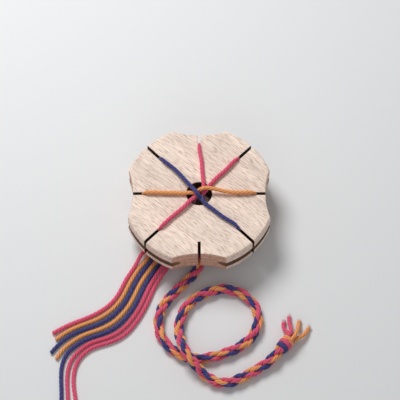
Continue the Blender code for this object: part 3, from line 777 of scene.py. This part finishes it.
def braid_offsets(form, age, moves, turned):
    """Where one yarn is across the braid, after a number of moves, and how thick it is there. It
    lies outside for the moves of a stitch, leaning round the ring and highest in its middle. Then
    it goes straight through the middle to its next stitch, seven moves of 135 degrees further on,
    which is 135 degrees back. A running mean over about half a move rounds its corners."""
    since = moves - age
    turn = np.floor(since / ROUND + 0.5)
    within = since - ROUND * turn
    half = form.stitch / 2
    middle = turned + MOVE_TURN * (age + ROUND * turn)
    step = MOVE_TURN * ROUND

    def on_ring(angle):
        return np.stack([np.cos(angle), np.sin(angle)], axis=-1)

    near = np.clip(np.abs(within) / half, 0, 1)[:, None]
    outside = on_ring(middle + form.lean * np.clip(within, -half, half))
    outside = outside * (form.ring - form.fall * near**FALL_POWER)
    way = np.sign(within)
    share = 0.5 * np.clip((np.abs(within) - half) / (ROUND / 2 - half), 0, 1)[:, None]
    leaving = on_ring(middle + way * form.lean * half)
    meeting = on_ring(middle + way * (step - form.lean * half))
    across = (leaving + (meeting - leaving) * share) * (form.ring - form.fall)
    place = np.where(np.abs(within)[:, None] < half, outside, across)
    kernel = np.hanning(CORNER_STEPS)[1:-1]
    kernel /= kernel.sum()
    pad = len(kernel) // 2
    padded = np.concatenate([place[:1].repeat(pad, 0), place, place[-1:].repeat(pad, 0)])
    place = np.stack([np.convolve(padded[:, i], kernel, "valid") for i in (0, 1)], axis=-1)
    return place, form.yarn * (1 - PRESSED * (np.abs(within) / (ROUND / 2)) ** 2)


def braid_skins():
    """The seven interlaced yarns, each a plied yarn round its own path across and along the braid,
    which goes on into the knot."""
    form = bpy.context.scene.star_braid
    middle = braid_points()
    inside = middle[-1:] + KNOT_AXIS * BRAID_INTO_KNOT
    run, points = even_steps(np.concatenate([middle, inside]), BRAID_STEP)
    _, side, top = carried_frames(points, (1, 0, 0))
    lengths, moves, degrees = np.array(BRAID_LAY).T
    moves = np.interp(run / MM, lengths, moves)
    turned = np.radians(np.interp(run / MM, lengths, degrees))
    skins = []
    for age in range(ROUND):
        offset, thick = braid_offsets(form, age, moves, turned)
        path = points + side * offset[:, :1] + top * offset[:, 1:]
        _, path, thick = even_steps(path, BRAID_YARN_STEP, thick)
        skins.append(
            yarn_skin(path, (1, 0, 0), thick, thick, sides=12, furrow=0.15, turn=0.3 * age)
        )
    return skins


class RoundBraid(bpy.types.Operator):
    """Add the round braid of seven yarns, from the hole to the knot"""

    bl_idname = "braiding_star.round_braid"
    bl_label = "Round braid"

    def execute(self, context):
        run, points = even_steps(braid_points(), BRAID_PATH_STEP)
        piece = add_mixed_yarns("round_braid", braid_skins(), BRAID_ORDER)
        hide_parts("braid")
        return {"FINISHED"}


# The knot's wraps from the braid to the cut ends: slot, start and end along the knot in half
# lengths, the turn at which the wrap has its middle, and how many turns it makes.
KNOT_WRAPS = (
    (8, -0.86, -0.66, 0.05, 1.35),
    (4, -0.58, -0.40, 0.45, 1.35),
    (1, -0.22, -0.02, 0.05, 1.30),
    (6, 0.06, 0.24, 0.50, 1.30),
    (7, 0.58, 0.76, 0.05, 1.35),
    (3, 0.34, 0.50, 0.50, 1.20),
    (2, 0.74, 0.86, 0.60, 0.90),
)
# How far from the knot's axis a wrap starts and ends, how much it leans along the knot, the power
# of the sine that lifts it, how much nearer the wraps at the knot's ends are, and its two widths.
WRAP_CORE = 0.0012
WRAP_LEAN = 0.0004
WRAP_POWER = 0.35
KNOT_TAPER = 0.08
WRAP_WIDTHS = 0.86, 0.9


def knot_skins():
    """Each yarn climbs from inside the knot to a wrap round it, leaning as the braid does in an
    overhand knot, and goes in again: a helix whose radius rises and falls with a low power of a
    sine."""
    skins = []
    t = np.linspace(0, 1, 90)
    lifted = np.sin(math.pi * t) ** WRAP_POWER
    outside = KNOT_DIAMETER / 2 - 0.52 * YARN
    for _, start, end, turn, turns in KNOT_WRAPS:
        reach = WRAP_CORE + (outside - WRAP_CORE) * lifted
        reach *= 1 - KNOT_TAPER * abs(start + end)
        angle = (turn + turns * (t - 0.5)) * math.tau
        along = (start + (end - start) * t) * (KNOT_LENGTH / 2) + WRAP_LEAN * np.cos(angle)
        out = KNOT_ACROSS * np.sin(angle)[:, None] + UP * np.cos(angle)[:, None]
        path = KNOT_MIDDLE + UP * TABLE + KNOT_AXIS * along[:, None] + out * reach[:, None]
        _, path = even_steps(path, KNOT_STEP)
        thick = np.full(len(path), YARN)
        skins.append(yarn_skin(path, KNOT_AXIS, *(thick * share for share in WRAP_WIDTHS)))
    return skins


class EndKnot(bpy.types.Operator):
    """Add the overhand knot that closes the braid"""

    bl_idname = "braiding_star.end_knot"
    bl_label = "End knot"

    def execute(self, context):
        slots = [wrap[0] for wrap in KNOT_WRAPS]
        piece = add_mixed_yarns("end_knot_wraps", knot_skins(), slots)
        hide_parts("end_knot")
        return {"FINISHED"}


# The loose fibres of a cut end: how many there are, their least length and what is added to it, how
# far inside the end they start, their width, their least height over the table, how pale they are,
# which is partly the paleness of loose fibres and partly painted highlight, and how one follows
# another in turn (radians) and in length. Then how rounded the end is.
FRAYED_FIBRES = 30
FIBRE_LENGTH = 0.0010
FIBRE_EXTRA = 0.0008
FIBRE_ROOT = 0.0008
FIBRE_WIDTH = 0.00052
FIBRE_OVER_TABLE = 0.0002
FIBRE_PALE = 0.6
GOLDEN_ANGLE = 2.4
GOLDEN_SHARE = 0.618
CUT_END_RADIUS = 0.0006

# The cut ends past the knot: their place in the bundle of seven that leaves it, in turns of a
# sixth (None is the middle one), then x and y of the points up to the tip, in millimetres.
CUT_ENDS = {
    6: (3, [(44.6, -69), (44.2, -63.8)]),
    1: (2, [(47.3, -67.5), (46.9, -61)]),
    3: (1, [(51.2, -68.6), (52.2, -63.4)]),
    7: (0, [(54.2, -71.9), (57.1, -67.1)]),
    2: (4, [(48.2, -71.3)]),
    4: (5, [(50.3, -73)]),
    8: (None, [(48.2, -73.3)]),
}


def cut_end_points(slot):
    """The middle of one cut end, from inside the knot to the tip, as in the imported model."""
    sixth, points = CUT_ENDS[slot]
    start = KNOT_MIDDLE + KNOT_AXIS * (KNOT_LENGTH / 2 + CLEARANCE)
    if sixth is not None:
        angle = math.radians(sixth * 60)
        spread = YARN + CLEARANCE
        start = start + (-KNOT_ACROSS * math.cos(angle) + UP * math.sin(angle)) * spread
    route = [start, start + KNOT_AXIS * 0.5 * YARN]
    for i, (x, y) in enumerate(points, start=1):
        fall = i / len(points) if len(points) > 1 else 0.2
        route.append((x * MM, y * MM, start[2] + (YARN_LOW - start[2]) * fall))
    dense = spline_through(route)
    dense[:, 2] = np.maximum(dense[:, 2], YARN_LOW)
    inside = KNOT_MIDDLE + (dense[0] - KNOT_MIDDLE) * 0.55
    return np.concatenate([[inside], dense]) + UP * TABLE


def loose_fibres(points, number):
    """Fibres that come loose at a cut. Each leaves at the golden angle from the last one, from its
    own distance off the middle, and bends out with the square of its way."""
    heading, side, top = (axes[-1] for axes in carried_frames(points[-12:], KNOT_ACROSS))
    way = np.linspace(0, 1, 7)[:, None]
    thick = FIBRE_WIDTH * (1 - 0.5 * way[:, 0])
    skins = []
    for i in range(FRAYED_FIBRES):
        turn = GOLDEN_ANGLE * i + number
        out = side * math.cos(turn) + top * math.sin(turn)
        off = 0.4 * YARN * math.sqrt((i + 0.5) / FRAYED_FIBRES)
        long = FIBRE_LENGTH + FIBRE_EXTRA * (GOLDEN_SHARE * i % 1)
        path = points[-1] + heading * (long * way - FIBRE_ROOT) + out * off * (1 + 0.6 * way**2)
        path[:, 2] = np.maximum(path[:, 2], TABLE + FIBRE_OVER_TABLE)
        skins.append(yarn_skin(path, side, thick, thick, sides=6, furrow=0))
    return skins


class CutEnds(bpy.types.Operator):
    """Add the seven cut ends that stick out of the knot"""

    bl_idname = "braiding_star.cut_ends"
    bl_label = "Cut ends"

    def execute(self, context):
        for slot, colour in SLOT_COLOURS.items():
            _, points = even_steps(cut_end_points(slot), CUT_END_STEP)
            thick = YARN * rounded_end(points, CUT_END_RADIUS)
            skin = yarn_skin(points, KNOT_ACROSS, thick, thick, turn=0.21 * slot)
            piece = add_yarns(
                f"frayed_end_{slot}_{colour}", [skin] + loose_fibres(points, slot),
                [cotton(colour), cotton(colour, FIBRE_PALE)], [0] + [1] * FRAYED_FIBRES,
            )
            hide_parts(f"cut_end_{slot}_{colour}")
        return {"FINISHED"}


def edge_inset(height, thickness, radius):
    """How far a rounded edge has drawn a wall back at a height: radius less the height of a
    quarter circle, near either face."""
    into = np.clip(np.abs(height) - (thickness / 2 - radius), 0, radius)
    return radius - np.sqrt(radius**2 - into**2)


def turned_reach(disk, height):
    """How far the turned blank reaches at a height: half an ellipse is turned out of its rim."""
    from_groove = np.clip((height + disk.groove_below) / (disk.groove_width / 2), -1, 1)
    blank = disk.diameter / 2 - edge_inset(height, disk.thickness, disk.edge)
    return blank - disk.groove_depth * np.sqrt(1 - from_groove**2)


def scallop_reach(disk, angle, height):
    """The way from the axis to the scallop's circle at an angle: the far middle's share along the
    ray, less the root of radius squared less its share across. It has no end where the ray misses
    the circle."""
    far = disk.diameter / 2 - disk.scallop_depth + disk.scallop_radius
    radius = disk.scallop_radius + edge_inset(height, disk.thickness, disk.scallop_edge)
    off = np.abs((angle + math.pi / 4) % (math.pi / 2) - math.pi / 4)
    across = far * np.sin(off)
    scallop = far * np.cos(off) - np.sqrt(np.maximum(radius**2 - across**2, 0))
    return np.where(across < radius, scallop, np.inf)


# Steps over one sector between two slots: (degrees, steps) from the slot that lies in a scallop's
# middle, the finest where the scallop meets the round rim, then steps along a slot, across its
# end, and from the hole's mouth to the slots.
SECTOR_STEPS = ((0, 9), (14.1, 27), (20.9, 15))
SLOT_STEPS = 8
SLOT_END_STEPS = 4
FACE_STEPS = 7


def sector_shares():
    """The share of a sector at each of its steps, from 0 to 1."""
    marks = [start for start, _ in SECTOR_STEPS] + [45]
    parts = [
        np.linspace(low, high, steps, endpoint=False)
        for (low, steps), high in zip(SECTOR_STEPS, marks[1:])
    ]
    return np.concatenate(parts + [[45]]) / 45


def turned_points(radius, angle, height):
    """x, y and z of the points at a radius, an angle and a height, each a number or an array."""
    return np.stack(
        np.broadcast_arrays(radius * np.cos(angle), radius * np.sin(angle), height), axis=-1
    )


def sector_grid(disk, number, height):
    """One sector of the disk from its inner arc to the rim at a height, as (along, across, x y z).
    Each point keeps its share of the way from one slot's wall to the other at its own radius, so
    the rim's reach and the angles are found in four rounds from each other."""
    share = sector_shares()
    if number % 2:
        share = 1 - share[::-1]
    drawn = edge_inset(height, disk.thickness, disk.slot_edge)
    wall = disk.slot_width / 2 + drawn
    inner = math.hypot(disk.slot_start - drawn, wall)
    out = np.linspace(0, 1, SLOT_STEPS + 1)[:, None]

    def bearing(radius):
        slack = np.arcsin(wall / radius)
        return number * math.pi / 4 + slack + (math.pi / 4 - 2 * slack) * share

    radius = np.full((SLOT_STEPS + 1, len(share)), inner)
    for _ in range(4):
        scallop = scallop_reach(disk, bearing(radius)[-1:], height)
        rim = np.minimum(turned_reach(disk, height), scallop)
        radius = inner + (rim - inner) * out
    return turned_points(radius, bearing(radius), height)


def slot_end(disk, number, height):
    """The straight end of the slot after a sector, as points from its one wall to the other."""
    drawn = edge_inset(height, disk.thickness, disk.slot_edge)
    wall = disk.slot_width / 2 + drawn
    across = np.linspace(-wall, wall, SLOT_END_STEPS + 1)
    angle = (number + 1) * math.pi / 4
    far = disk.slot_start - drawn
    return np.column_stack([
        far * math.cos(angle) - across * math.sin(angle),
        far * math.sin(angle) + across * math.cos(angle),
        np.full(len(across), height),
    ])


def disk_heights(disk):
    """Heights of the rings of the wall: dense in the rounded edges and in the groove."""
    half = disk.thickness / 2
    rise = np.sin(np.radians((0, 15, 30, 42, 54, 64, 74, 82, 90)))
    edge = half - disk.edge + disk.edge * rise
    fall = np.sin(np.radians(np.linspace(-90, 90, 29)))
    groove = -disk.groove_below + disk.groove_width / 2 * fall
    return np.unique(np.round(np.concatenate([-edge, edge, groove, [half / 2, half * 0.72]]), 9))


def closed(parts):
    """A row of points from its parts, with the first point again at its end."""
    row = np.concatenate(parts)
    return np.concatenate([row, row[:1]])


def wall_outline(disk, height):
    """The disk's outline at a height, which runs round each sector and into each slot."""
    parts = []
    for number in range(8):
        grid = sector_grid(disk, number, height)
        parts += [grid[:-1, 0], grid[-1, :-1], grid[:0:-1, -1]]
        parts.append(slot_end(disk, number, height)[:-1])
    return closed(parts)


def face_grids(disk, height):
    """The grids of one face: the eight sectors, and the ring from the hole's mouth straight out to
    them. The angles of the ring's points come with them."""
    grids = [sector_grid(disk, number, height) for number in range(8)]
    parts = [(grid[0, :-1], slot_end(disk, i, height)[:-1]) for i, grid in enumerate(grids)]
    inner = closed([row for pair in parts for row in pair])
    angle = np.arctan2(inner[:, 1], inner[:, 0])
    mouth = turned_points(disk.hole / 2 + disk.hole_edge, angle, height)
    share = np.linspace(0, 1, FACE_STEPS + 1)[:, None, None]
    return grids + [mouth + (inner - mouth) * share], angle


def bore_grid(disk, angle):
    """The hole's wall at the given angles, with a quarter circle at each end."""
    half = disk.thickness / 2
    rise = disk.hole_edge * np.sin(np.radians((0, 22, 45, 66, 90)))
    high = half - disk.hole_edge + rise
    levels = np.unique(np.concatenate([high, rise - half, -high, [0.0]]))[:, None]
    radius = disk.hole / 2 + edge_inset(levels, disk.thickness, disk.hole_edge)
    return turned_points(radius, angle, levels)


def grid_faces(grid, start, turned):
    """Quads of a grid of points, numbered from start, and turned over where that is asked."""
    rows, columns = grid.shape[:2]
    i, j = (index.ravel() for index in np.indices((rows - 1, columns - 1)))
    a = i * columns + j + start
    quads = np.column_stack([a, a + 1, a + columns + 1, a + columns])
    return (quads[:, ::-1] if turned else quads).tolist()


# Points of the disk nearer to each other than this are one point.
SAME_POINT = 2e-7


def disk_mesh(disk):
    """The disk as one closed skin: its outline carried through the heights, the grids of its two
    faces, and the hole's wall, merged where they meet."""
    half = disk.thickness / 2
    top, angle = face_grids(disk, half)
    bottom, _ = face_grids(disk, -half)
    wall = np.array([wall_outline(disk, height) for height in disk_heights(disk)])
    outward, turned = [wall, *top], [*bottom, bore_grid(disk, angle)]
    faces, start = [], 0
    for number, grid in enumerate(outward + turned):
        faces += grid_faces(grid, start, number >= len(outward))
        start += grid.shape[0] * grid.shape[1]
    points = np.concatenate([grid.reshape(-1, 3) for grid in outward + turned])
    mesh = bpy.data.meshes.new("wooden_disk")
    mesh.from_pydata((points + (0, 0, FACE + TABLE - half)).tolist(), [], faces)
    bm = bmesh.new()
    bm.from_mesh(mesh)
    bmesh.ops.remove_doubles(bm, verts=bm.verts, dist=SAME_POINT)
    bmesh.ops.recalc_face_normals(bm, faces=bm.faces)
    open_edges = sum(not edge.is_manifold for edge in bm.edges)
    bm.to_mesh(mesh)
    bm.free()
    if open_edges:
        raise RuntimeError(f"the disk has {open_edges} open edges")
    mesh.shade_smooth()
    mesh.set_sharp_from_angle(angle=SHARP_WOOD)
    mark_painted_shade(mesh, disk)
    return mesh


# How far off a wall the middles of its faces may be, and the numbers of the disk's materials: the
# sanded wood, and three with painted shade for the slots and hole, the scallops and the groove.
WALL_MARGIN = 0.0001
SANDED, SAWN_SHADE, MILLED_SHADE, GROOVED_SHADE = range(4)


def mark_painted_shade(mesh, disk):
    """Gives each wall the material that holds its painted shade: a deep shade in the slots and the
    hole, which a blade cut, a slight one on the walls of the scallops, which a cutter made, and a
    middling one in the rim's groove, which the turning tool made. Walls are faces that stand nearly
    upright, and a wall's faces are told by where their middles are."""
    count = len(mesh.polygons)
    centres, normals = np.empty(3 * count), np.empty(3 * count)
    mesh.polygons.foreach_get("center", centres)
    mesh.polygons.foreach_get("normal", normals)
    x, y, z = centres.reshape(-1, 3).T
    height = z - (FACE + TABLE - disk.thickness / 2)
    reach, angle = np.hypot(x, y), np.arctan2(y, x)
    off = np.abs((angle + math.pi / 8) % (math.pi / 4) - math.pi / 8)
    upright = np.abs(normals.reshape(-1, 3)[:, 2]) < 0.5
    in_slot = reach * np.sin(off) < disk.slot_width / 2 + 0.4 * WALL_MARGIN
    in_slot &= reach > disk.slot_start - WALL_MARGIN
    in_hole = reach < disk.hole / 2 + WALL_MARGIN
    in_groove = np.abs(height + disk.groove_below) < disk.groove_width / 2
    on_rim = turned_reach(disk, height) < scallop_reach(disk, angle, height)
    outer = reach > disk.slot_start + disk.slot_width
    tool = np.full(count, SANDED)
    tool[upright & (reach > disk.hole) & ~on_rim] = MILLED_SHADE
    tool[in_groove & on_rim & outer] = GROOVED_SHADE
    tool[(in_slot | in_hole) & upright] = SAWN_SHADE
    mesh.polygons.foreach_set("material_index", tool.tolist())


class WoodenDisk(bpy.types.Operator):
    """Add the turned, scalloped and slotted beech disk"""

    bl_idname = "braiding_star.wooden_disk"
    bl_label = "Wooden disk"

    def execute(self, context):
        mesh = disk_mesh(context.scene.star_disk)
        mesh.materials.append(worked_beech("sanded_beech"))
        # The other three materials are the beech darkened as painted shade: deeply in the slots and
        # hole, slightly on the scallops and middling in the groove.
        for tool in ("sawn_shade", "milled_shade", "grooved_shade"):
            left = getattr(context.scene.star_wood, tool)
            mesh.materials.append(worked_beech(tool + "_beech", left))
        disk = add_object("wooden_disk", mesh)
        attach(disk, "root")
        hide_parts("braiding_star")
        return {"FINISHED"}


# The stage: half the floor's width, how far it lies under the lowest yarns, each soft light's
# place, width and share of the key's power, and what the lights aim at.
FLOOR_HALF = 1.5
FLOOR_GAP = 0.00002
LIGHTS = {
    "key": ((-0.24, 0.38, 0.60), 0.35, 1.0),
    "fill": ((-0.10, -0.85, 0.50), 0.7, 0.26),
}
LIT_POINT = (0, -0.03, 0)

# The camera that was fitted to the star's outline in a picture 400 pixels wide: degrees that it
# looks down, its distance from the middle of the face, and its focal length and shifts in pixels.
PICTURE = 400
SENSOR = 36
LOOKS_DOWN = 63.4
DISTANCE = 1.0
FOCAL = 1897
SHIFT_X = 0.76
SHIFT_Y = -6.48


class Studio(bpy.types.Operator):
    """Add the pale floor, the soft light and the camera"""

    bl_idname = "braiding_star.studio"
    bl_label = "Studio"

    def execute(self, context):
        scene = context.scene
        room = scene.star_room
        floor = bpy.data.meshes.new("floor")
        corners = [
            (x * FLOOR_HALF, y * FLOOR_HALF, TABLE - FLOOR_GAP)
            for x, y in ((-1, -1), (1, -1), (1, 1), (-1, 1))
        ]
        floor.from_pydata(corners, [], [(0, 1, 2, 3)])
        paint = {"Base Color": (*room.floor, 1), "Roughness": 0.9}
        floor.materials.append(new_material("matt_floor", paint)[0])
        add_object("floor", floor)

        for name, (place, size, share) in LIGHTS.items():
            light = bpy.data.lights.new(name, "AREA")
            light.shape = "DISK"
            light.size = size
            light.energy = share * room.key_power
            lamp = add_object(name, light)
            lamp.location = place
            x, y, z = np.subtract(LIT_POINT, place)
            lamp.rotation_euler = (
                math.atan2(math.hypot(x, y), -z), 0, math.atan2(x, -y) + math.pi
            )
        scene.world = bpy.data.worlds.new("soft_sky")
        scene.world.use_nodes = True
        sky = scene.world.node_tree.nodes["Background"]
        sky.inputs["Color"].default_value = (1, 1, 1, 1)
        sky.inputs["Strength"].default_value = room.sky
        scene.view_settings.view_transform = "Standard"

        camera = bpy.data.cameras.new("camera")
        camera.sensor_width = SENSOR
        camera.lens = FOCAL * SENSOR / PICTURE
        camera.shift_x = SHIFT_X / PICTURE
        camera.shift_y = SHIFT_Y / PICTURE
        camera.clip_start = 0.01
        view = add_object("camera", camera)
        down = math.radians(LOOKS_DOWN)
        view.location = (0, -DISTANCE * math.cos(down), FACE + TABLE + DISTANCE * math.sin(down))
        view.rotation_euler = (math.radians(90 - LOOKS_DOWN), 0, 0)
        scene.camera = view
        return {"FINISHED"}


ORDER = (
    "studio", "wooden_disk", "held_yarns", "loose_tails", "end_knot", "cut_ends", "round_braid",
)
SETTINGS = {
    "star_disk": DiskSettings,
    "star_wood": WoodSettings,
    "star_yarn": YarnSettings,
    "star_braid": BraidSettings,
    "star_room": RoomSettings,
}


class StarPanel(bpy.types.Panel):
    """The pieces and their settings"""

    bl_idname = "BRAIDING_STAR_PT_panel"
    bl_label = "Braiding Star"
    bl_space_type = "VIEW_3D"
    bl_region_type = "UI"
    bl_category = "Braiding Star"

    def draw(self, context):
        for name in ORDER:
            self.layout.operator("braiding_star." + name)
        for settings in SETTINGS:
            box = self.layout.box()
            group = getattr(context.scene, settings)
            for key in group.__annotations__:
                box.prop(group, key)


CLASSES = (
    *SETTINGS.values(), Studio, WoodenDisk, HeldYarns, LooseTails, EndKnot, CutEnds, RoundBraid,
    StarPanel,
)


def register():
    for made in CLASSES:
        bpy.utils.register_class(made)
    for name, group in SETTINGS.items():
        setattr(bpy.types.Scene, name, bpy.props.PointerProperty(type=group))


def unregister():
    for name in SETTINGS:
        delattr(bpy.types.Scene, name)
    for made in reversed(CLASSES):
        bpy.utils.unregister_class(made)


def main():
    register()
    for name in ORDER:
        getattr(bpy.ops.braiding_star, name)()


if __name__ == "__main__":
    main()
